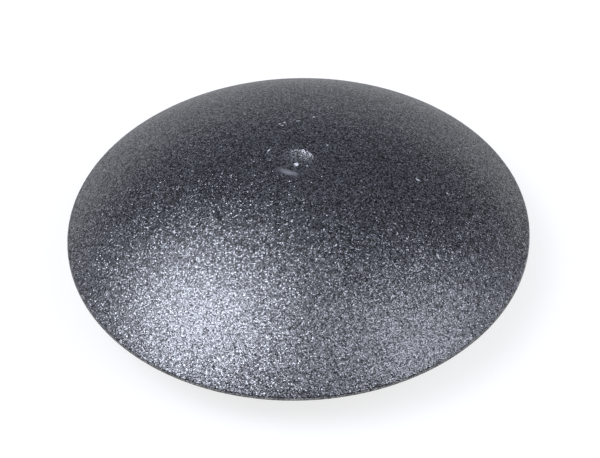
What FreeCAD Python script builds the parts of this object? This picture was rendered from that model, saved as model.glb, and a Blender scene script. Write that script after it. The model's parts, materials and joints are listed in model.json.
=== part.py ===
"""Hub dust cap: a shallow domed cap, moulded in one piece, that snaps into a wheel's centre bore.

The outer face is part of a sphere with a rounded rim and a small gate dimple at its crown.
Underneath, a slotted collar of snap fingers grips the edge of the wheel's centre bore.
The cap stands on its finger tips: the origin is the centre of their plane, and +Z is up, towards the crown.
All lengths are in millimetres.
"""

import FreeCAD
import Part

import math
import os

# Wheel that the cap closes
BORE_DIAMETER = 57.1
BORE_LIP_THICKNESS = 3.0

# Domed shell
RIM_OVERLAP = 6.45
CROWN_RISE = 13.18
SHELL_WALL = 2.0
RIM_EDGE_RADIUS = 0.4
RIM_EDGE_LAND = 0.25

# Gate dimple at the crown, with the stub that the mould's gate leaves
DIMPLE_DIAMETER = 6.2
DIMPLE_DEPTH = 0.9
DIMPLE_LIP_RADIUS = 0.8
GATE_STUB_DIAMETER = 0.9
GATE_STUB_HEIGHT = 0.45

# Snap collar
COLLAR_CLEARANCE = 0.35
COLLAR_WALL = 1.6
COLLAR_ROOT_FLARE = 0.7
LIP_CLEARANCE = 0.2
BEAD_BITE = 0.45
BEAD_LAND = 0.8
BEAD_FLANK_ANGLE = 45.0
LEAD_IN_LENGTH = 1.7
LEAD_IN_ANGLE = 33.0
FINGER_COUNT = 10
SLOT_WIDTH = 3.0
SLOT_TOP_GAP = 0.8

# Radii that follow from the bore
bore_radius = BORE_DIAMETER / 2
cap_radius = bore_radius + RIM_OVERLAP
collar_outer = bore_radius - COLLAR_CLEARANCE
collar_inner = collar_outer - COLLAR_WALL
bead_crest = bore_radius + BEAD_BITE
bead_height = bead_crest - collar_outer

# Heights of the snap bead, counted up from the finger tips
lead_in_width = LEAD_IN_LENGTH * math.tan(math.radians(LEAD_IN_ANGLE))
tip_outer = bead_crest - lead_in_width
crest_bottom = LEAD_IN_LENGTH
crest_top = crest_bottom + BEAD_LAND
flank_top = crest_top + bead_height / math.tan(math.radians(BEAD_FLANK_ANGLE))
seat_height = flank_top + LIP_CLEARANCE + BORE_LIP_THICKNESS
crown_height = seat_height + CROWN_RISE

# Sphere of the outer face: it meets the rim's rounding smoothly and reaches the crown's height
rounding_radius = cap_radius - RIM_EDGE_RADIUS
rounding_height = seat_height + RIM_EDGE_LAND
rise_over_rounding = CROWN_RISE - RIM_EDGE_LAND - RIM_EDGE_RADIUS
dome_radius = RIM_EDGE_RADIUS + (rounding_radius**2 + rise_over_rounding**2) / (2 * rise_over_rounding)
dome_inner_radius = dome_radius - SHELL_WALL
dome_centre = crown_height - dome_radius

# Dish of the gate dimple, which is part of a smaller sphere whose centre is above the crown
dimple_edge = DIMPLE_DIAMETER / 2
dimple_floor = crown_height - DIMPLE_DEPTH
dish_depth = dome_centre + math.sqrt(dome_radius**2 - dimple_edge**2) - dimple_floor
dish_radius = (dimple_edge**2 + dish_depth**2) / (2 * dish_depth)
dish_centre = dimple_floor + dish_radius

AXIS_FOOT = FreeCAD.Vector(0, 0, 0)
UP = FreeCAD.Vector(0, 0, 1)
SIDEWAYS = FreeCAD.Vector(1, 0, 0)


def at(radius, height):
    """A point of the cap's section, which lies in the XZ plane."""
    return FreeCAD.Vector(radius, 0, height)


def on_axis(height):
    """A point on the cap's axis."""
    return at(0, height)


def line(start, end):
    return Part.LineSegment(start, end).toShape()


def arc(centre, start, end):
    """The shorter arc from start to end around a centre."""
    radius = (start - centre).Length
    middle = (start - centre) + (end - centre)
    return Part.Arc(start, centre + middle.normalize() * radius, end).toShape()


def toward(centre, point, radius):
    """The point at a radius from a centre, in the direction of another point."""
    return centre + (point - centre).normalize() * radius


def turned(edges):
    """A solid of revolution about the cap's axis."""
    return Part.Face(Part.Wire(edges)).revolve(AXIS_FOOT, UP, 360)


def lip_circle_centre():
    """Centre of the rounding that leads from the dome into the dish of the dimple."""
    dome_reach = dome_radius - DIMPLE_LIP_RADIUS
    dish_reach = dish_radius + DIMPLE_LIP_RADIUS
    apart = dish_centre - dome_centre
    along = (dome_reach**2 - dish_reach**2 + apart**2) / (2 * apart)
    return at(math.sqrt(dome_reach**2 - along**2), dome_centre + along)


def turned_blank():
    """The outer face with its dimple, gate stub and rounded rim, still solid down to the seat."""
    stub_radius = GATE_STUB_DIAMETER / 2
    stub_top = dimple_floor + GATE_STUB_HEIGHT
    stub_foot = at(stub_radius, dish_centre - math.sqrt(dish_radius**2 - stub_radius**2))
    lip_centre = lip_circle_centre()
    dish_end = toward(on_axis(dish_centre), lip_centre, dish_radius)
    dome_start = toward(on_axis(dome_centre), lip_centre, dome_radius)
    rounding_centre = at(rounding_radius, rounding_height)
    dome_end = toward(on_axis(dome_centre), rounding_centre, dome_radius)
    edge_top = at(cap_radius, rounding_height)
    edge_bottom = at(cap_radius, seat_height)
    return turned(
        [
            line(on_axis(stub_top), at(stub_radius, stub_top)),
            line(at(stub_radius, stub_top), stub_foot),
            arc(on_axis(dish_centre), stub_foot, dish_end),
            arc(lip_centre, dish_end, dome_start),
            arc(on_axis(dome_centre), dome_start, dome_end),
            arc(rounding_centre, dome_end, edge_top),
            line(edge_top, edge_bottom),
            line(edge_bottom, on_axis(seat_height)),
            line(on_axis(seat_height), on_axis(stub_top)),
        ]
    )


def hollow():
    """The space under the dome: it leaves an even wall, also round the dimple's dish."""
    inside = Part.makeSphere(dome_inner_radius, on_axis(dome_centre), -SIDEWAYS)
    gate_pad = Part.makeSphere(dish_radius + SHELL_WALL, on_axis(dish_centre), SIDEWAYS)
    return inside.cut(gate_pad)


def inner_height(distance):
    """Height of the dome's inner face at a distance from the axis."""
    return dome_centre + math.sqrt(dome_inner_radius**2 - distance**2)


def collar():
    """The snap collar before its slots: its flared root ends inside the shell's wall."""
    flare_outer = collar_outer + COLLAR_ROOT_FLARE
    flare_inner = collar_inner - COLLAR_ROOT_FLARE
    overlap = SHELL_WALL / 2
    corners = [
        at(tip_outer, 0),
        at(bead_crest, crest_bottom),
        at(bead_crest, crest_top),
        at(collar_outer, flank_top),
        at(collar_outer, inner_height(collar_outer) - COLLAR_ROOT_FLARE),
        at(flare_outer, inner_height(flare_outer)),
        at(flare_outer, inner_height(flare_outer) + overlap),
        at(flare_inner, inner_height(flare_inner) + overlap),
        at(flare_inner, inner_height(flare_inner)),
        at(collar_inner, inner_height(collar_inner) - COLLAR_ROOT_FLARE),
        at(collar_inner, 0),
    ]
    return turned([line(start, end) for start, end in zip(corners, corners[1:] + corners[:1])])


def finger_slots():
    """Cutters for the slots between the snap fingers, each with a half-round top."""
    half = SLOT_WIDTH / 2
    slot_top = inner_height(collar_outer + COLLAR_ROOT_FLARE) - SLOT_TOP_GAP
    round_start = slot_top - half
    inside = collar_inner - COLLAR_WALL
    outside = bead_crest + LIP_CLEARANCE
    below = -LEAD_IN_LENGTH

    def corner(side, height):
        return FreeCAD.Vector(inside, side, height)

    outline = Part.Wire(
        [
            line(corner(-half, below), corner(half, below)),
            line(corner(half, below), corner(half, round_start)),
            Part.Arc(corner(half, round_start), corner(0, slot_top), corner(-half, round_start)).toShape(),
            line(corner(-half, round_start), corner(-half, below)),
        ]
    )
    slot = Part.Face(outline).extrude(SIDEWAYS * (outside - inside))
    pitch = 360 / FINGER_COUNT
    return [slot.rotated(AXIS_FOOT, UP, (index + 0.5) * pitch) for index in range(FINGER_COUNT)]


def dust_cap():
    shell = turned_blank().cut(hollow())
    return shell.fuse(collar()).cut(finger_slots())


def main():
    os.makedirs("parts", exist_ok=True)
    cap = dust_cap()
    solid = cap.Solids[0]
    print(f"solids {len(cap.Solids)}, valid {cap.isValid()}, volume {solid.Volume:.1f} mm3")
    print(f"across {2 * cap_radius:.2f}, seat height {seat_height:.3f}, crown {crown_height:.3f}")
    print(f"dome radius {dome_radius:.3f}, collar {collar_inner:.3f} to {collar_outer:.3f}")
    print(f"bead crest {bead_crest:.3f} from {crest_bottom:.3f} to {crest_top:.3f}")
    solid.exportStep("parts/dust_cap.step")


main()
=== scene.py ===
# %% [markdown]
# # A hub dust cap in black plastic
# A dust cap closes the hole in the middle of a car wheel. It is one moulding: a shallow dome with a narrow
# rim, a small dimple at the crown where the plastic was let into the mould, and, out of sight below, a ring
# of snap fingers. The CAD model already has the exact shape, so it is loaded first as the measure of
# everything. The lesson then models the same shape again with a skin fine enough to carry the moulded grain.

# %% Load the CAD model as the frame
import json
import math

import bmesh
import bpy
from mathutils import Matrix, Vector


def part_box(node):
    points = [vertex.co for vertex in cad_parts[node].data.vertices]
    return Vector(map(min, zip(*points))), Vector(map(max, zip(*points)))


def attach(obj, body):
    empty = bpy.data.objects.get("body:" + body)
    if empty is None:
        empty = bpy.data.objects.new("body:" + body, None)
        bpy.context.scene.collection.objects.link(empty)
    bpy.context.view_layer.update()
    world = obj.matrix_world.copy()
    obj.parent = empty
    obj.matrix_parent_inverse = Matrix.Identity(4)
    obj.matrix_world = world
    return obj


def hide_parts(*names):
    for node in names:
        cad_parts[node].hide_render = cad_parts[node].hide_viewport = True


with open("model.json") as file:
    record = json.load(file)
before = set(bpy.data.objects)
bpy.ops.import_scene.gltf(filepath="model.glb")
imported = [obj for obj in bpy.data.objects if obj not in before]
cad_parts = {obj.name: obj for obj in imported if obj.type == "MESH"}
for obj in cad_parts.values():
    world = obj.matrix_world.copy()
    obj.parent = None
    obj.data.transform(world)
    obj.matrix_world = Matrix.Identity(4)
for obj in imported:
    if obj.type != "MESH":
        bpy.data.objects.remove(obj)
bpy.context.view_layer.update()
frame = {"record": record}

# %% [markdown]
# ## Sizes
# The cap's width, the height of its seat and the snap bead are read from the frame, so they can't drift from
# the CAD model. The other sizes are the designer's own, in millimetres, and everything else follows from
# them. The dome is part of a ball: its radius is the one that meets the rim's rounding without a crease.

# %% Sizes of the cap
MM = 0.001

mounts = {mount["name"]: mount for mount in frame["record"]["mounts"]}
bead = mounts["snap_bead"]

low_corner, high_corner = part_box("dust_cap")
CAP_RADIUS = min(high_corner.x, high_corner.y, -low_corner.x, -low_corner.y)
SEAT_HEIGHT = mounts["seat_face"]["pos_m"][2]
BEAD_CREST = bead["dims"]["r_mm"] * MM
BEAD_BOTTOM = bead["pos_m"][2] - bead["dims"]["length_mm"] * MM / 2
BEAD_TOP = bead["pos_m"][2] + bead["dims"]["length_mm"] * MM / 2

CROWN_RISE = 13.18 * MM
SHELL_WALL = 2.0 * MM
RIM_EDGE_RADIUS = 0.4 * MM
RIM_EDGE_LAND = 0.25 * MM

rounding_radius = CAP_RADIUS - RIM_EDGE_RADIUS
rounding_height = SEAT_HEIGHT + RIM_EDGE_LAND
rise_over_rounding = CROWN_RISE - RIM_EDGE_LAND - RIM_EDGE_RADIUS
dome_radius = RIM_EDGE_RADIUS + (rounding_radius**2 + rise_over_rounding**2) / (2 * rise_over_rounding)
crown_height = SEAT_HEIGHT + CROWN_RISE
dome_centre = crown_height - dome_radius
rim_slope = math.atan2(rounding_height - dome_centre, rounding_radius)
dome_end = dome_centre + dome_radius * math.sin(rim_slope)
print(f"dome radius {dome_radius / MM:.2f} mm, dome ends {dome_end / MM:.2f} mm above the floor")

# %% [markdown]
# ## Small helpers
# Every operator works on what is selected, so each step starts by clearing the selection. A few short
# helpers do what a hand does all the time in edit mode: clear the table, pick an open edge loop, and pull
# new rings out of that loop to given radii and heights.

# %% Helpers for edit mode
AXIS_FOOT = (0, 0, 0)
UP = (0, 0, 1)
CLOSE = 0.002 * MM


def clear_selection():
    """Leave edit mode and select nothing."""
    if bpy.context.mode != "OBJECT":
        bpy.ops.object.mode_set(mode="OBJECT")
    bpy.ops.object.select_all(action="DESELECT")


def edit_all():
    """Go to edit mode with all of the active piece selected."""
    bpy.ops.object.mode_set(mode="EDIT")
    bpy.ops.mesh.select_all(action="SELECT")


def pick_open_loop(piece, wanted):
    """Select the open edges whose middle is wanted, and return their mean radius, mean height and count."""
    bpy.ops.mesh.select_mode(type="EDGE")
    bpy.ops.mesh.select_all(action="DESELECT")
    mesh = bmesh.from_edit_mesh(piece.data)
    loop = [e for e in mesh.edges if e.is_boundary and wanted((e.verts[0].co + e.verts[1].co) / 2)]
    for edge in loop:
        edge.select_set(True)
    bmesh.update_edit_mesh(piece.data)
    radius = sum(edge.verts[0].co.xy.length for edge in loop) / len(loop)
    height = sum(edge.verts[0].co.z for edge in loop) / len(loop)
    return radius, height, len(loop)


def pull_rings(start, rings):
    """Extrude the selected loop from ring to ring. A ring is a radius and a height."""
    radius, height = start
    for next_radius, next_height in rings:
        bpy.ops.mesh.extrude_region_move(TRANSFORM_OT_translate={"value": (0, 0, next_height - height)})
        ratio = next_radius / radius
        bpy.ops.transform.resize(value=(ratio, ratio, 1), center_override=AXIS_FOOT)
        radius, height = next_radius, next_height


def arc_rings(centre, radius, start, end, steps):
    """Rings along an arc of the section, without the one it starts from. Angles count up from level."""
    angles = [start + (end - start) * step / steps for step in range(1, steps + 1)]
    return [(centre[0] + radius * math.cos(a), centre[1] + radius * math.sin(a)) for a in angles]


# %% [markdown]
# ## The dome
# The grain of the plastic needs a skin of small, even faces. A lathe-like spin would give long thin faces at
# the rim and slivers at the crown, so the dome starts from an icosphere, whose triangles are alike all over.
# It is cut roughly first, subdivided, made perfectly round again by a Cast modifier, and only then cut at
# the exact height where the rim's rounding begins.

# %% Cut the dome from a fine ball
BALL_SUBDIVISIONS = 6
SKIN_CUTS = 7
ROUGH_MARGIN = 3 * MM

clear_selection()
bpy.ops.mesh.primitive_ico_sphere_add(
    subdivisions=BALL_SUBDIVISIONS, radius=dome_radius, location=(0, 0, dome_centre)
)
cap = bpy.context.object
cap.name = "dust_cap_skin"
edit_all()
bpy.ops.mesh.bisect(plane_co=(0, 0, dome_end - ROUGH_MARGIN), plane_no=UP, clear_inner=True, threshold=CLOSE)
bpy.ops.mesh.select_all(action="SELECT")
bpy.ops.mesh.subdivide(number_cuts=SKIN_CUTS)
bpy.ops.object.mode_set(mode="OBJECT")

# %% Make the dome round again and cut it to its height
cast = cap.modifiers.new("round_again", "CAST")
cast.cast_type = "SPHERE"
cast.factor = 1
cast.use_radius_as_size = False
cast.size = dome_radius
bpy.ops.object.modifier_apply(modifier=cast.name)
bpy.ops.object.transform_apply(location=True, rotation=False, scale=False)

edit_all()
bpy.ops.mesh.bisect(plane_co=(0, 0, dome_end), plane_no=UP, clear_inner=True, threshold=CLOSE)
print("dome faces", len(bmesh.from_edit_mesh(cap.data).faces))

# %% [markdown]
# ## The rim
# The dome turns down into an upright edge through a small rounding, which catches a thin line of light on
# the real cap. The cut edge of the dome is extruded ring by ring along that rounding and then straight down
# to the seat. Very short edges left by the cut are merged first, so that the rings have no slivers.

# %% Round the rim
RIM_STEPS = 4
SLIVER = 0.06 * MM


def anywhere(middle):
    """Every open edge is wanted."""
    return True


pick_open_loop(cap, anywhere)
bpy.ops.mesh.remove_doubles(threshold=SLIVER)
cut_radius, cut_height, cut_edges = pick_open_loop(cap, anywhere)
rim_rings = arc_rings((rounding_radius, rounding_height), RIM_EDGE_RADIUS, rim_slope, 0, RIM_STEPS)
pull_rings((cut_radius, cut_height), rim_rings + [(CAP_RADIUS, SEAT_HEIGHT)])
print("rim loop", cut_edges, "edges, cap radius", round(CAP_RADIUS / MM, 3))

# %% [markdown]
# ## The gate dimple
# Molten plastic enters the mould at the crown. Where it is broken off, a short stub stays behind, and the
# dish around it keeps that stub below the surface. The crown is cut off at the height where the lip of the
# dish begins, and the hole is closed again by rings that follow the lip, the dish and the stub. The lip is
# an arc that touches the ball of the dome and the ball of the dish, so neither joint shows a crease.

# %% Work out the dimple
DIMPLE_EDGE = 3.1 * MM
DIMPLE_DEPTH = 0.9 * MM
DIMPLE_LIP_RADIUS = 0.8 * MM
STUB_RADIUS = 0.45 * MM

dimple_floor = crown_height - DIMPLE_DEPTH
dish_depth = dome_centre + math.sqrt(dome_radius**2 - DIMPLE_EDGE**2) - dimple_floor
dish_radius = (DIMPLE_EDGE**2 + dish_depth**2) / (2 * dish_depth)
dish_centre = dimple_floor + dish_radius
lip_reach = dome_radius - DIMPLE_LIP_RADIUS
dish_reach = dish_radius + DIMPLE_LIP_RADIUS
apart = dish_centre - dome_centre
lip_rise = (lip_reach**2 - dish_reach**2 + apart**2) / (2 * apart)
lip_centre = (math.sqrt(lip_reach**2 - lip_rise**2), dome_centre + lip_rise)
lip_top = math.atan2(lip_rise, lip_centre[0])
lip_bottom = math.atan2(dish_centre - lip_centre[1], -lip_centre[0])
lip_height = lip_centre[1] + DIMPLE_LIP_RADIUS * math.sin(lip_top)
dish_start = math.atan2(lip_centre[1] - dish_centre, lip_centre[0])
dish_end = -math.acos(STUB_RADIUS / dish_radius)
print(f"dish radius {dish_radius / MM:.2f} mm, its lip begins {lip_height / MM:.2f} mm above the floor")

# %% Sink the dimple
LIP_STEPS = 5
DISH_STEPS = 10
CROWN_MARGIN = 1 * MM


def near_crown(middle):
    """The open edges round the cut crown are wanted."""
    return middle.z > crown_height - CROWN_MARGIN


bpy.ops.mesh.select_all(action="SELECT")
bpy.ops.mesh.bisect(plane_co=(0, 0, lip_height), plane_no=UP, clear_outer=True, threshold=CLOSE)
pick_open_loop(cap, near_crown)
bpy.ops.mesh.remove_doubles(threshold=SLIVER)
hole_radius, hole_height, hole_edges = pick_open_loop(cap, near_crown)
lip_rings = arc_rings(lip_centre, DIMPLE_LIP_RADIUS, lip_top, lip_bottom, LIP_STEPS)
dish_rings = arc_rings((0, dish_centre), dish_radius, dish_start, dish_end, DISH_STEPS)
pull_rings((hole_radius, hole_height), lip_rings + dish_rings)
print("dimple", round(2 * hole_radius / MM, 2), "mm across its lip,", hole_edges, "edges")

# %% Raise the broken stub
STUB_HEIGHT = 0.45 * MM
SHOULDER_SHARE, CREST_SHARE, PIT_SHARE = 0.85, 0.62, 0.3
SHOULDER_DROP = 0.12 * MM
PIT_DROP = 0.06 * MM

stub_top = dimple_floor + STUB_HEIGHT
stub_rings = [
    (SHOULDER_SHARE * STUB_RADIUS, stub_top - SHOULDER_DROP),
    (CREST_SHARE * STUB_RADIUS, stub_top),
    (PIT_SHARE * STUB_RADIUS, stub_top - PIT_DROP),
]
pull_rings(dish_rings[-1], stub_rings)
bpy.ops.mesh.merge(type="CENTER")
print("stub", round(STUB_HEIGHT / MM, 2), "mm high")

# %% [markdown]
# ## The underside
# The wheel hides this side, but a part in a library is turned over. The section of the underside is drawn
# with a pen: one vertex is extruded along straight runs and spun along arcs, from the seat over the inside
# of the dome and round the snap collar to the axis. Spinning that line once round gives the surface. A
# pointed lid closes it above, so that a Boolean can treat it as a solid when the slots are cut.

# %% Helpers for drawing a section
pen = Vector((0, 0, 0))


def start_pen(name, radius, height):
    """A new piece with a single vertex, ready to be extruded in the XZ plane."""
    clear_selection()
    bpy.ops.mesh.primitive_plane_add(size=MM)
    bpy.context.object.name = name
    edit_all()
    bpy.ops.mesh.select_mode(type="VERT")
    bpy.ops.mesh.merge(type="CENTER")
    bpy.ops.transform.translate(value=(radius, 0, height))
    pen.xyz = radius, 0, height
    return bpy.context.object


def line_to(radius, height):
    """Extrude the pen's vertex straight to a point of the section."""
    step = Vector((radius, 0, height)) - pen
    bpy.ops.mesh.extrude_region_move(TRANSFORM_OT_translate={"value": step})
    pen.xyz = radius, 0, height


def arc_to(centre_height, radius, height, steps):
    """Spin the pen's vertex about a centre on the axis to a point of the section."""
    start = math.atan2(pen.z - centre_height, pen.x)
    end = math.atan2(height - centre_height, radius)
    bpy.ops.mesh.spin(
        steps=steps, angle=end - start, center=(0, 0, centre_height), axis=(0, 1, 0), use_auto_merge=False
    )
    pen.xyz = radius, 0, height


# %% Sizes of the underside
COLLAR_OUTER = 28.2 * MM
COLLAR_INNER = 26.6 * MM
COLLAR_ROOT_FLARE = 0.7 * MM
LEAD_IN_ANGLE = math.radians(33)
TIP_OUTER = BEAD_CREST - BEAD_BOTTOM * math.tan(LEAD_IN_ANGLE)
BEAD_FLANK_TOP = BEAD_TOP + BEAD_CREST - COLLAR_OUTER
SEAT_INSET = 0.35 * MM
SEAT_OUTER = CAP_RADIUS - SEAT_INSET

inner_radius = dome_radius - SHELL_WALL
pad_radius = dish_radius + SHELL_WALL
pad_rise = (inner_radius**2 - pad_radius**2 + apart**2) / (2 * apart)
pad_edge = math.sqrt(inner_radius**2 - pad_rise**2)
seat_inner = math.sqrt(inner_radius**2 - (SEAT_HEIGHT - dome_centre) ** 2)
flare_outer = COLLAR_OUTER + COLLAR_ROOT_FLARE
flare_inner = COLLAR_INNER - COLLAR_ROOT_FLARE


def inner_height(distance):
    """Height of the dome's inner face at a distance from the axis."""
    return dome_centre + math.sqrt(inner_radius**2 - distance**2)


print(f"seat from {seat_inner / MM:.2f} mm, finger tips out to {TIP_OUTER / MM:.2f} mm")

# %% Draw the section of the underside
LID_HEIGHT = 50 * MM
SEAT_ARC_STEPS = 4
DOME_ARC_STEPS = 16
PAD_ARC_STEPS = 5

underside = start_pen("underside", 0, LID_HEIGHT)
line_to(SEAT_OUTER, SEAT_HEIGHT)
line_to(seat_inner, SEAT_HEIGHT)
arc_to(dome_centre, flare_outer, inner_height(flare_outer), SEAT_ARC_STEPS)
line_to(COLLAR_OUTER, inner_height(COLLAR_OUTER) - COLLAR_ROOT_FLARE)
line_to(COLLAR_OUTER, BEAD_FLANK_TOP)
line_to(BEAD_CREST, BEAD_TOP)
line_to(BEAD_CREST, BEAD_BOTTOM)
line_to(TIP_OUTER, 0)
line_to(COLLAR_INNER, 0)
line_to(COLLAR_INNER, inner_height(COLLAR_INNER) - COLLAR_ROOT_FLARE)
line_to(flare_inner, inner_height(flare_inner))
arc_to(dome_centre, pad_edge, inner_height(pad_edge), DOME_ARC_STEPS)
arc_to(dish_centre, 0, dish_centre - pad_radius, PAD_ARC_STEPS)
print("points of the section", len(bmesh.from_edit_mesh(underside.data).verts))

# %% Spin the section once round
UNDERSIDE_STEPS = 240

bpy.ops.mesh.select_all(action="SELECT")
bpy.ops.mesh.spin(
    steps=UNDERSIDE_STEPS, angle=2 * math.pi, center=AXIS_FOOT, axis=UP, use_auto_merge=False
)
bpy.ops.mesh.select_all(action="SELECT")
bpy.ops.mesh.remove_doubles(threshold=CLOSE)
bpy.ops.mesh.normals_make_consistent(inside=False)
print("underside faces before the slots", len(bmesh.from_edit_mesh(underside.data).faces))

# %% [markdown]
# ## Slots between the snap fingers
# Ten slots split the collar into fingers that can bend inwards as the cap is pressed home. A slot is a
# block with a half-round top, made by bevelling the two upper edges of a cube by half its width. The
# block is turned round the axis as duplicates, and one Boolean takes all ten away.

# %% Make one cutter and copy it round the axis
FINGER_COUNT = 10
SLOT_WIDTH = 3 * MM
SLOT_TOP_GAP = 0.8 * MM
SLOT_MARGIN = 0.2 * MM
SLOT_INSIDE = 25.0 * MM
SLOT_OUTSIDE = BEAD_CREST + SLOT_MARGIN
SLOT_BELOW = -1.7 * MM
SLOT_ROUND_SEGMENTS = 8

slot_top = inner_height(flare_outer) - SLOT_TOP_GAP
pitch = 2 * math.pi / FINGER_COUNT

clear_selection()
bpy.ops.mesh.primitive_cube_add(
    size=1,
    location=((SLOT_INSIDE + SLOT_OUTSIDE) / 2, 0, (slot_top + SLOT_BELOW) / 2),
    scale=(SLOT_OUTSIDE - SLOT_INSIDE, SLOT_WIDTH, slot_top - SLOT_BELOW),
)
cutter = bpy.context.object
bpy.ops.object.transform_apply(location=True, rotation=False, scale=True)
edit_all()
bpy.ops.mesh.select_mode(type="EDGE")
bpy.ops.mesh.select_all(action="DESELECT")
mesh = bmesh.from_edit_mesh(cutter.data)
for edge in mesh.edges:
    runs_outwards = abs(edge.verts[0].co.x - edge.verts[1].co.x) > MM
    edge.select_set(runs_outwards and edge.verts[0].co.z > 0)
bmesh.update_edit_mesh(cutter.data)
bpy.ops.mesh.bevel(offset=SLOT_WIDTH / 2, segments=SLOT_ROUND_SEGMENTS, affect="EDGES")
bpy.ops.mesh.select_all(action="SELECT")
bpy.ops.mesh.remove_doubles(threshold=CLOSE)
bpy.ops.transform.rotate(value=pitch / 2, orient_axis="Z", center_override=AXIS_FOOT)
bpy.ops.mesh.spin(
    steps=FINGER_COUNT - 1, dupli=True, angle=2 * math.pi - pitch, center=AXIS_FOOT, axis=UP
)
bpy.ops.mesh.select_all(action="SELECT")
bpy.ops.mesh.normals_make_consistent(inside=False)
clear_selection()
print("cutter faces", len(cutter.data.polygons), "in", FINGER_COUNT, "copies")

# %% Cut the slots and take the lid off
underside.select_set(True)
bpy.context.view_layer.objects.active = underside
slots = underside.modifiers.new("slots", "BOOLEAN")
slots.operation = "DIFFERENCE"
slots.solver = "EXACT"
slots.object = cutter
bpy.ops.object.modifier_apply(modifier=slots.name)
bpy.data.objects.remove(cutter)

edit_all()
bpy.ops.mesh.select_mode(type="VERT")
bpy.ops.mesh.select_all(action="DESELECT")
mesh = bmesh.from_edit_mesh(underside.data)
for vertex in mesh.verts:
    vertex.select_set(vertex.co.z > crown_height)
bmesh.update_edit_mesh(underside.data)
bpy.ops.mesh.delete(type="VERT")
print("underside faces", len(bmesh.from_edit_mesh(underside.data).faces))

# %% [markdown]
# ## One closed shell
# The skin and the underside are joined, and the two open loops on the seat are bridged. After that the
# cap is one closed body, as the moulding is. Normals are made consistent once, and edges sharper than a
# set angle stay sharp, so the seat and the fingers keep crisp corners while the dome is smooth.

# %% Join the skin and the underside
SHARP_ANGLE = math.radians(38)
SEAT_TOLERANCE = 0.01 * MM


def on_seat(middle):
    """The open edges on the plane of the seat are wanted."""
    return abs(middle.z - SEAT_HEIGHT) < SEAT_TOLERANCE


clear_selection()
underside.select_set(True)
cap.select_set(True)
bpy.context.view_layer.objects.active = cap
bpy.ops.object.join()
edit_all()
pick_open_loop(cap, on_seat)
bpy.ops.mesh.bridge_edge_loops()
bpy.ops.mesh.select_all(action="SELECT")
bpy.ops.mesh.normals_make_consistent(inside=False)
mesh = bmesh.from_edit_mesh(cap.data)
open_edges = sum(1 for edge in mesh.edges if not edge.is_manifold)
print("faces", len(mesh.faces), "edges that are not closed", open_edges)
clear_selection()
cap.select_set(True)
bpy.context.view_layer.objects.active = cap
bpy.ops.object.shade_smooth_by_angle(angle=SHARP_ANGLE)

# %% [markdown]
# ## Moulded grain
# The mould was spark-eroded, which leaves a fine, hard grain that glitters. A Displace modifier with a
# cloud texture presses its larger swells into the skin. It only pushes inwards, so the cap never grows past
# its CAD size, and a vertex group keeps it off the seat and the underside, which come from a plainer part of
# the mould. The single crystals are finer than any sensible mesh, so the material adds those later.

# %% Press the grain into the skin
GRAIN_SIZE = 0.8 * MM
GRAIN_DEPTH = 0.03 * MM
GRAIN_LAYERS = 1

skin = cap.vertex_groups.new(name="grained_skin")
grained = set()
for vertex in cap.data.vertices:
    distance = vertex.co.xy.length
    on_rim = distance > seat_inner and vertex.co.z > SEAT_HEIGHT + RIM_EDGE_LAND / 2
    on_dome = distance < seat_inner and vertex.co.z > inner_height(distance) + SHELL_WALL / 2
    if on_dome or on_rim:
        grained.add(vertex.index)
skin.add(sorted(grained), 1.0, "REPLACE")

grain = bpy.data.textures.new("spark_grain", "CLOUDS")
grain.noise_scale = GRAIN_SIZE
grain.noise_depth = GRAIN_LAYERS
press = cap.modifiers.new("grain", "DISPLACE")
press.texture = grain
press.texture_coords = "LOCAL"
press.direction = "NORMAL"
press.mid_level = 0
press.strength = -GRAIN_DEPTH
press.vertex_group = skin.name
bpy.ops.object.modifier_apply(modifier=press.name)
print("grained vertices", len(grained), "of", len(cap.data.vertices))

# %% [markdown]
# ## Finishes
# The whole cap is one black plastic, but the mould gives it three finishes: the glittering grain outside, a
# satin underside with the marks of the mould, and the torn end of the gate stub, pale from stretching and
# from a painted highlight. Each finish is a Principled shader with a few pattern nodes, all hung on Object
# coordinates, so the patterns stay put when the cap is turned. A few helpers keep the node cells short: each
# adds one kind of node and fills its inputs.

# %% Helpers for finishes
GIVE_A_NUMBER = ("LENGTH", "DISTANCE", "DOT_PRODUCT")


def set_inputs(finish, node, inputs):
    """Set each named input of a node to a value, or link it where an output socket is given."""
    for name, value in inputs.items():
        if isinstance(value, bpy.types.NodeSocket):
            finish.node_tree.links.new(value, node.inputs[name])
        else:
            node.inputs[name].default_value = value


def add_node(finish, kind, inputs, **menus):
    """Add a shader node, choose from its menus and fill its inputs."""
    node = finish.node_tree.nodes.new("ShaderNode" + kind)
    for menu, choice in menus.items():
        setattr(node, menu, choice)
    set_inputs(finish, node, inputs)
    return node


def new_finish(name):
    """A material with nodes: the material, its shader and the Object coordinates."""
    finish = bpy.data.materials.new(name)
    finish.use_nodes = True
    place = add_node(finish, "TexCoord", {})
    return finish, finish.node_tree.nodes["Principled BSDF"], place.outputs["Object"]


def number(finish, operation, first, second):
    """Work out a number from two others."""
    return add_node(finish, "Math", {0: first, 1: second}, operation=operation).outputs[0]


def vector(finish, operation, *values):
    """Work out a vector from others, or a number where the operation gives one."""
    node = add_node(finish, "VectorMath", dict(enumerate(values)), operation=operation)
    return node.outputs["Value" if operation in GIVE_A_NUMBER else "Vector"]


def fade(finish, value, start, end, low=0, high=1):
    """Go from low to high as a value goes from start to end, and stay level outside."""
    ends = {"From Min": start, "From Max": end, "To Min": low, "To Max": high}
    return add_node(finish, "MapRange", {"Value": value, **ends}).outputs[0]


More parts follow.
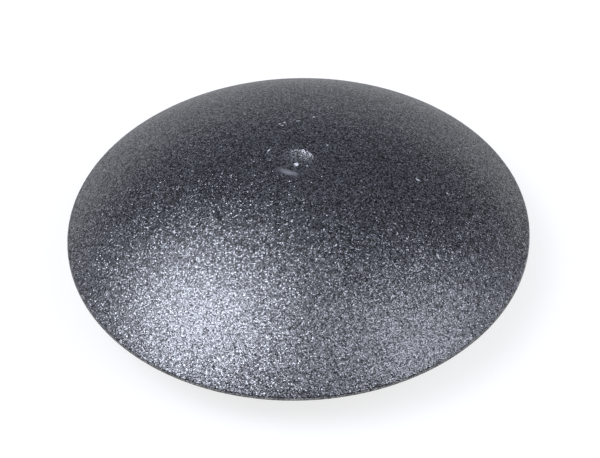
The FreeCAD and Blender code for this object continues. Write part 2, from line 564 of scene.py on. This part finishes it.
def blend(finish, share, first, second):
    """A colour that goes from the first to the second as the share goes from 0 to 1."""
    mix = add_node(finish, "Mix", {"Factor": share}, data_type="RGBA")
    colours = [socket for socket in mix.inputs if socket.type == "RGBA"]
    for socket, value in zip(colours, (first, second)):
        if isinstance(value, bpy.types.NodeSocket):
            finish.node_tree.links.new(value, socket)
        else:
            socket.default_value = value
    return [socket for socket in mix.outputs if socket.type == "RGBA"][0]


# %% [markdown]
# ## Crystals of the grain
# A spark-eroded mould leaves thousands of tiny rounded crystals side by side. A Voronoi texture gives one
# cell to each. The squared distance from a cell's middle, turned upside down, bumps the cell into a small
# dome. The cell's random colour leans that dome to one side, most of them a little and a few a lot, and
# Specular Tint gives each its own shine. So each crystal throws the lamp back from its own spot, and the lit
# side of the cap glitters instead of shining like a bowl. The dish was polished, so its crystals are flatter.

# %% One cell for each crystal
CRYSTAL_SIZE = 0.175 * MM
SQUARED = 2

skin_finish, skin_shader, place = new_finish("grained_black_plastic")
crystals = add_node(skin_finish, "TexVoronoi", {"Vector": place, "Scale": 1 / CRYSTAL_SIZE}).outputs
chance = add_node(skin_finish, "TexWhiteNoise", {"Vector": crystals["Position"]}).outputs["Value"]
from_middle = number(skin_finish, "POWER", crystals["Distance"], SQUARED)
print("crystals across the cap", round(2 * CAP_RADIUS / CRYSTAL_SIZE))

# %% Flatter crystals in the dish
DISH_SMOOTH, DISH_GRAINED = 2.3 * MM, 3.6 * MM
DISH_GRAIN = 0.35
LEVEL = (1, 1, 0)

from_axis = vector(skin_finish, "LENGTH", vector(skin_finish, "MULTIPLY", place, LEVEL))
grain_share = fade(skin_finish, from_axis, DISH_SMOOTH, DISH_GRAINED, DISH_GRAIN, 1)
print("full grain from", round(DISH_GRAINED / MM, 1), "mm outwards")

# %% Dome, lean and shine of each crystal
CRYSTAL_RISE = 0.028 * MM
CRYSTAL_LEAN, STEEP_LEAN = 0.19, 0.65
STEEP_RARITY = 4
DULL_CRYSTAL = 0.05
MIDDLE_COLOUR = (0.5, 0.5, 0.5)

domes = add_node(
    skin_finish,
    "Bump",
    {"Strength": grain_share, "Distance": CRYSTAL_RISE, "Height": from_middle},
    invert=True,
)
aside = vector(skin_finish, "SUBTRACT", crystals["Color"], MIDDLE_COLOUR)
few = number(skin_finish, "POWER", chance, STEEP_RARITY)
leaning = fade(skin_finish, few, 0, 1, CRYSTAL_LEAN, STEEP_LEAN)
own_lean = number(skin_finish, "MULTIPLY", leaning, grain_share)
lean = add_node(skin_finish, "VectorMath", {0: aside, "Scale": own_lean}, operation="SCALE")
tilt = vector(skin_finish, "ADD", domes.outputs[0], lean.outputs[0])
facing = vector(skin_finish, "NORMALIZE", tilt)
shine = fade(skin_finish, chance, 0, 1, DULL_CRYSTAL, 1)
set_inputs(skin_finish, skin_shader, {"Normal": facing, "Specular Tint": shine})
print("nodes of the crystals", len(skin_finish.node_tree.nodes))

# %% [markdown]
# ## Small marks of the skin
# Hands and wheels leave a few pale specks. Beside the gate, a pale patch is a painted highlight: it paints in
# the light that the front lip of the dimple throws back. Both are small ellipses: a Mapping node moves the
# coordinates to the middle of a mark, turns them and scales them, so that the mark ends where their length
# is 1. A painted image could do the same, but these marks stay sharp however close the camera comes.

# %% Specks, scuffs and the painted highlight by the gate
MARK_DEPTH = 2 * MM
SCUFF_SHARE = 0.6
PAINTED_HIGHLIGHT_SHARE = 0.3

# Place to the right, place towards the back, length and width in millimetres, then heading in degrees
SCUFFS = (
    (-4.0, 3.0, 0.8, 0.28, 55),
    (4.7, 3.9, 0.35, 0.3, 0),
    (2.9, 11.6, 0.42, 0.45, 0),
    (-2.3, 9.8, 0.4, 0.3, 20),
    (-1.6, 10.1, 0.45, 0.4, 0),
    (-1.9, 9.3, 0.5, 0.25, 10),
    (0.5, 10.4, 0.8, 0.25, 5),
    (17.9, -1.4, 0.95, 0.3, -28),
    (20.0, -14.6, 1.1, 0.28, -66),
    (15.6, -12.9, 0.35, 0.35, 0),
    (22.2, -2.6, 0.35, 0.3, 0),
    (1.6, -0.2, 0.35, 0.3, 0),
)
# A painted highlight beside the gate, where the dimple's front lip throws light back, given like a scuff
GATE_PAINTED_HIGHLIGHT = (-1.2, -1.7, 3.8, 2.1, -25)


def dome_height(across, along):
    """Height of the outer face above the floor."""
    return dome_centre + math.sqrt(dome_radius**2 - across**2 - along**2)


def mark_mask(finish, place, mark, full_share):
    """1 in the middle of a mark, over a share of its width, and 0 outside it."""
    across, along, length, width = (value * MM for value in mark[:4])
    own_place = add_node(
        finish,
        "Mapping",
        {
            "Vector": place,
            "Location": (across, along, dome_height(across, along)),
            "Rotation": (0, 0, math.radians(mark[4])),
            "Scale": (length / 2, width / 2, MARK_DEPTH),
        },
        vector_type="TEXTURE",
    )
    reach = vector(finish, "LENGTH", own_place.outputs[0])
    return fade(finish, reach, 1, full_share)


scuffed = mark_mask(skin_finish, place, SCUFFS[0], SCUFF_SHARE)
for scuff in SCUFFS[1:]:
    next_mask = mark_mask(skin_finish, place, scuff, SCUFF_SHARE)
    scuffed = number(skin_finish, "MAXIMUM", scuffed, next_mask)
# Mask of the painted highlight beside the gate
painted_highlight = mark_mask(skin_finish, place, GATE_PAINTED_HIGHLIGHT, PAINTED_HIGHLIGHT_SHARE)
print("scuffs", len(SCUFFS))

# %% [markdown]
# ## Colour and gloss of the skin
# No two crystals are quite as dark: a random number, raised to a power, makes most of them black and a few
# grey. Slow clouds change the gloss a little from place to place, and the dish is duller. Seen at a slant,
# only the tops of the grain show and they scatter the light, so Layer Weight makes the skin rougher there.
# The crystals have clean, hard faces that throw back more light than flat plastic, hence the higher IOR.

# %% Colour of the skin
DARK_CRYSTAL = (0.0053, 0.0053, 0.006, 1)
PALE_CRYSTAL = (0.086, 0.09, 0.1, 1)
PALE_RARITY = 3
# Pale colour of the painted highlight beside the gate
PAINTED_HIGHLIGHT_COLOUR = (0.23, 0.233, 0.241, 1)
SCUFFED_PLASTIC = (0.56, 0.57, 0.59, 1)

pale_share = number(skin_finish, "POWER", chance, PALE_RARITY)
crystal_colour = blend(skin_finish, pale_share, DARK_CRYSTAL, PALE_CRYSTAL)
# Paint the highlight beside the gate into the colour of the skin
colour_with_highlight = blend(skin_finish, painted_highlight, crystal_colour, PAINTED_HIGHLIGHT_COLOUR)
skin_colour = blend(skin_finish, scuffed, colour_with_highlight, SCUFFED_PLASTIC)
set_inputs(skin_finish, skin_shader, {"Base Color": skin_colour})
print("pale crystals, one in", PALE_RARITY + 1)

# %% Gloss of the skin
GRAIN_IOR = 2.15
GRAIN_GLOSS = 1.0
GLOSS_CLOUDS = 9 * MM
CLOUD_DETAIL = 3
CLOUD_LOW, CLOUD_HIGH = 0.3, 0.7
GLOSSY, WORN = 0.13, 0.19
DISH_ROUGHNESS = 0.34
SLANT_BLEND = 0.5
GRAZING_START, GRAZING_FULL = 0.42, 0.7
GRAZING_ROUGHNESS = 0.4
SCUFF_ROUGHNESS = 0.5

clouds = add_node(
    skin_finish, "TexNoise", {"Vector": place, "Scale": 1 / GLOSS_CLOUDS, "Detail": CLOUD_DETAIL}
)
gloss = fade(skin_finish, clouds.outputs[0], CLOUD_LOW, CLOUD_HIGH, GLOSSY, WORN)
dish_gloss = fade(skin_finish, from_axis, DISH_SMOOTH, DISH_GRAINED, DISH_ROUGHNESS, gloss)
slant = add_node(skin_finish, "LayerWeight", {"Blend": SLANT_BLEND}).outputs["Facing"]
slant_gloss = fade(skin_finish, slant, GRAZING_START, GRAZING_FULL, dish_gloss, GRAZING_ROUGHNESS)
skin_gloss = fade(skin_finish, scuffed, 0, 1, slant_gloss, SCUFF_ROUGHNESS)
set_inputs(
    skin_finish,
    skin_shader,
    {"Roughness": skin_gloss, "IOR": GRAIN_IOR, "Specular IOR Level": GRAIN_GLOSS},
)
print("nodes of the skin", len(skin_finish.node_tree.nodes))

# %% [markdown]
# ## Satin underside
# The core of the mould, which shaped the underside, was turned on a lathe and only stoned. It leaves faint
# rings round the axis, and the pins that push the cap out of the mould leave four round prints. Absolute
# coordinates fold the four quarters onto one, so a single print is drawn and appears four times.

# %% Lathe rings and pin prints
RING_SPACING = 0.45 * MM
RING_WOBBLE = 0.6
RING_DETAIL = 2
RING_DEPTH = 0.006 * MM
PIN_PLACE = 11.5 * MM
PIN_RADIUS = 2.0 * MM
PIN_DEPTH = 0.08 * MM
PIN_EDGE = 0.93

# A Wave texture at a scale of 1 has this many rings to the metre
WAVE_TURNS = 20 / (2 * math.pi)

satin_finish, satin_shader, place = new_finish("satin_black_plastic")
rings = add_node(
    satin_finish,
    "TexWave",
    {
        "Vector": place,
        "Scale": 1 / (WAVE_TURNS * RING_SPACING),
        "Distortion": RING_WOBBLE,
        "Detail": RING_DETAIL,
    },
    wave_type="RINGS",
    rings_direction="Z",
)
pin_place = add_node(
    satin_finish,
    "Mapping",
    {
        "Vector": vector(satin_finish, "ABSOLUTE", place),
        "Location": (PIN_PLACE, PIN_PLACE, 0),
        "Scale": (PIN_RADIUS, PIN_RADIUS, 1),
    },
    vector_type="TEXTURE",
)
pin_reach = vector(satin_finish, "LENGTH", pin_place.outputs[0])
pin_print = fade(satin_finish, pin_reach, 1, PIN_EDGE)
ring_bump = add_node(
    satin_finish, "Bump", {"Strength": 1, "Distance": RING_DEPTH, "Height": rings.outputs["Fac"]}
)
pin_bump = add_node(
    satin_finish,
    "Bump",
    {"Strength": 1, "Distance": PIN_DEPTH, "Height": pin_print, "Normal": ring_bump.outputs[0]},
    invert=True,
)
set_inputs(satin_finish, satin_shader, {"Normal": pin_bump.outputs[0]})
print("pin prints at", round(PIN_PLACE * math.sqrt(2) / MM, 1), "mm from the axis")

# %% Colour and gloss of the underside
PLASTIC_IOR = 1.6
PLASTIC_GLOSS = 0.6
SATIN_COLOUR = (0.03, 0.031, 0.0335, 1)
PIN_COLOUR = (0.0456, 0.0465, 0.05, 1)
SATIN_CLOUD_DETAIL = 4
SATIN_GLOSSY, SATIN_DULL = 0.30, 0.48

satin_clouds = add_node(
    satin_finish, "TexNoise", {"Vector": place, "Scale": 1 / GLOSS_CLOUDS, "Detail": SATIN_CLOUD_DETAIL}
)
set_inputs(
    satin_finish,
    satin_shader,
    {
        "Base Color": blend(satin_finish, pin_print, SATIN_COLOUR, PIN_COLOUR),
        "Roughness": fade(satin_finish, satin_clouds.outputs[0], 0, 1, SATIN_GLOSSY, SATIN_DULL),
        "IOR": PLASTIC_IOR,
        "Specular IOR Level": PLASTIC_GLOSS,
    },
)
print("nodes of the underside", len(satin_finish.node_tree.nodes))

# %% [markdown]
# ## Torn stub
# Where the gate was broken off, the plastic has stretched and turned pale, and the break is rough. The pale
# top is also a painted highlight, standing in for the light that the broken end throws back. Noise at the
# size of the torn threads mixes the pale and the dark plastic and roughens the surface.

# %% Pale torn plastic, partly a painted highlight
TORN_THREADS = 0.33 * MM
THREAD_DETAIL = 3
TORN_START, TORN_FULL = 0.38, 0.55
TORN_DEPTH = 0.06 * MM
TORN_ROUGHNESS = 0.45
# Pale of the stretched plastic, and also a painted highlight on the stub's top
TORN_PALE_HIGHLIGHT = (0.8, 0.81, 0.83, 1)
TORN_DARK = (0.14, 0.144, 0.154, 1)

torn_finish, torn_shader, place = new_finish("torn_plastic_painted_highlight")
threads = add_node(
    torn_finish, "TexNoise", {"Vector": place, "Scale": 1 / TORN_THREADS, "Detail": THREAD_DETAIL}
).outputs[0]
# Where the stub's top is pale from stretching and from the painted highlight
pale_and_highlight_share = fade(torn_finish, threads, TORN_START, TORN_FULL)
torn_bump = add_node(torn_finish, "Bump", {"Strength": 1, "Distance": TORN_DEPTH, "Height": threads})
set_inputs(
    torn_finish,
    torn_shader,
    {
        "Base Color": blend(torn_finish, pale_and_highlight_share, TORN_DARK, TORN_PALE_HIGHLIGHT),
        "Roughness": TORN_ROUGHNESS,
        "Normal": torn_bump.outputs[0],
    },
)
print("torn threads across the stub", round(2 * STUB_RADIUS / TORN_THREADS, 1))

# %% [markdown]
# ## Give each face its finish
# The three finishes go into the cap's material slots, and each face picks one by its place: the top of the
# stub is torn and carries a painted highlight, what carries the grain is skin, and all the rest came off the
# core of the mould.

# %% Pick a finish for each face
TORN_HEIGHT = STUB_HEIGHT / 3
SKIN, SATIN, TORN = range(3)

cap.data.materials.clear()
for finish in (skin_finish, satin_finish, torn_finish):
    cap.data.materials.append(finish)

counts = [0, 0, 0]
for face in cap.data.polygons:
    on_stub = face.center.xy.length < STUB_RADIUS and face.center.z > stub_top - TORN_HEIGHT
    on_edge = face.center.xy.length > rounding_radius and face.center.z > SEAT_HEIGHT + CLOSE
    if on_stub:
        face.material_index = TORN
    elif on_edge or all(index in grained for index in face.vertices):
        face.material_index = SKIN
    else:
        face.material_index = SATIN
    counts[face.material_index] += 1
print("faces of skin, underside and stub", counts)

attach(cap, "root")
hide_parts("dust_cap")

# %% [markdown]
# ## Floor
# The cap lies on a sheet of white paper that fills the picture. The paper is lit like any other thing and
# keeps the cap's shadow. A glow of its own, only for the camera and for reflections, lifts it to white, so
# that no extra light has to fall on the cap. Like a pool of light on a table, the glow fades outwards, which
# keeps the far side of the dome from mirroring too much white.

# %% White paper
PAPER_SIZE = 6
PAPER_GAP = 0.02 * MM
PAPER_COLOUR = (0.23, 0.23, 0.23, 1)
PAPER_ROUGHNESS = 0.9
GLOW_COLOUR = (1, 1, 1, 1)
NEAR_GLOW, FAR_GLOW = 0.78, 0.5
POOL_MIDDLE = (0, 20 * MM, 0)
POOL_RADIUS = 78 * MM
POOL_FADE = 190 * MM

clear_selection()
bpy.ops.mesh.primitive_plane_add(size=PAPER_SIZE, location=(0, 0, -PAPER_GAP))
bpy.ops.object.transform_apply(location=True, rotation=False, scale=False)
floor = bpy.context.object
floor.name = "floor"
paper, paper_shader, place = new_finish("white_paper")
outwards = vector(paper, "DISTANCE", place, POOL_MIDDLE)
pool = fade(paper, outwards, POOL_RADIUS, POOL_FADE, NEAR_GLOW, FAR_GLOW)
light_path = add_node(paper, "LightPath", {}).outputs
seen = light_path["Is Camera Ray"]
for ray in ("Is Glossy Ray", "Is Transmission Ray"):
    seen = number(paper, "MAXIMUM", seen, light_path[ray])
set_inputs(
    paper,
    paper_shader,
    {
        "Base Color": PAPER_COLOUR,
        "Roughness": PAPER_ROUGHNESS,
        "Emission Color": GLOW_COLOUR,
        "Emission Strength": number(paper, "MULTIPLY", seen, pool),
    },
)
floor.data.materials.append(paper)
print("paper glows", NEAR_GLOW, "near the cap and", FAR_GLOW, "far away")

# %% [markdown]
# ## Lights
# Softboxes stand round the cap, the strongest on the left. Their places follow from the highlights: a
# highlight on the dome lies where the surface mirrors a lamp to the camera. A lamp is placed by its azimuth,
# which is 0 on the camera's side and turns to the right, and by its elevation. Together they give a plain
# level of light, at which a colour looks about as it is written.

# %% Softboxes
LAMP_DISTANCE = 0.9
LAMP_COLOUR = (0.82, 0.86, 1.0)

# Name, azimuth and elevation in degrees, width in metres and power in watts
SOFTBOXES = (
    ("left_front_softbox", -58, 57, 0.45, 3.0),
    ("left_back_softbox", -98, 54, 0.45, 2.4),
    ("left_low_softbox", -78, 42, 0.45, 1.45),
    ("left_edge_softbox", -110, 22, 0.5, 0.4),
    ("right_softbox", 70, 45, 0.6, 2.4),
    ("right_front_softbox", 55, 48, 0.4, 0.7),
    ("right_edge_softbox", 100, 20, 0.5, 0.6),
    ("overhead_softbox", -60, 82, 0.5, 0.95),
    ("front_softbox", 0, 56, 0.5, 1.0),
)


def softbox(name, azimuth, elevation, size, power):
    """A square lamp that faces the cap."""
    turn, rise = math.radians(azimuth), math.radians(elevation)
    way = Vector((math.sin(turn) * math.cos(rise), -math.cos(turn) * math.cos(rise), math.sin(rise)))
    clear_selection()
    bpy.ops.object.light_add(type="AREA", location=way * LAMP_DISTANCE)
    lamp = bpy.context.object
    lamp.name = name
    lamp.rotation_euler = way.to_track_quat("Z", "Y").to_euler()
    lamp.data.size = size
    lamp.data.energy = power
    lamp.data.color = LAMP_COLOUR


for row in SOFTBOXES:
    softbox(*row)
print("softboxes", len(SOFTBOXES), "with", round(sum(row[4] for row in SOFTBOXES), 1), "watts together")

# %% [markdown]
# ## Studio
# The room round the lamps stays dim. Its ceiling grows a little brighter towards the back, and a pale band of
# wall runs round the horizon, which the steep sides of the dome mirror. Both are shades of the world's
# background, worked out from the direction of view, so no walls have to be built.

# %% Dim studio
CEILING_WAY = (0, 0.145, 0.18)
WALL_FOOT, WALL_HEIGHT = 0.02, 0.34
WALL_GLOW = 0.36
STUDIO_COLOUR = (0.8, 0.86, 1.0, 1)

world = bpy.data.worlds.new("studio")
bpy.context.scene.world = world
world.use_nodes = True
sky = world.node_tree.nodes["Background"]
sky_way = add_node(world, "TexCoord", {}).outputs["Generated"]
ceiling = number(world, "MAXIMUM", vector(world, "DOT_PRODUCT", sky_way, CEILING_WAY), 0)
rise = add_node(world, "SeparateXYZ", {0: sky_way}).outputs[2]
wall = fade(world, rise, WALL_FOOT, WALL_HEIGHT, WALL_GLOW, 0)
set_inputs(world, sky, {"Color": STUDIO_COLOUR, "Strength": number(world, "ADD", ceiling, wall)})
print("wall ends", round(math.degrees(math.asin(WALL_HEIGHT))), "degrees above the floor")

# %% [markdown]
# ## Camera
# The camera looks down at the front of the cap with a long lens. It aims at the middle of the seat and is
# turned a little about its own axis, because the photograph isn't quite level.

# %% Camera
VIEW_ELEVATION = math.radians(43.69)
VIEW_ROLL = math.radians(1.72)
VIEW_DISTANCE = 8.3 * CAP_RADIUS
FOCAL_LENGTH = 114.7
SENSOR_WIDTH = 36
SHIFT_X = 0.0032
SHIFT_Y = -0.0043
NEAREST_SEEN = 0.01

clear_selection()
bpy.ops.object.camera_add()
camera = bpy.context.object
aim = Vector((0, 0, SEAT_HEIGHT))
back = Vector((0, -math.cos(VIEW_ELEVATION), math.sin(VIEW_ELEVATION)))
looking = back.to_track_quat("Z", "Y").to_matrix().to_4x4()
roll = Matrix.Rotation(-VIEW_ROLL, 4, "Z")
camera.matrix_world = Matrix.Translation(aim + VIEW_DISTANCE * back) @ looking @ roll
camera.data.lens = FOCAL_LENGTH
camera.data.sensor_width = SENSOR_WIDTH
camera.data.shift_x = SHIFT_X
camera.data.shift_y = SHIFT_Y
camera.data.clip_start = NEAREST_SEEN
bpy.context.scene.camera = camera
bpy.context.scene.view_settings.view_transform = "Standard"
print("camera at", [round(value, 4) for value in camera.matrix_world.translation])
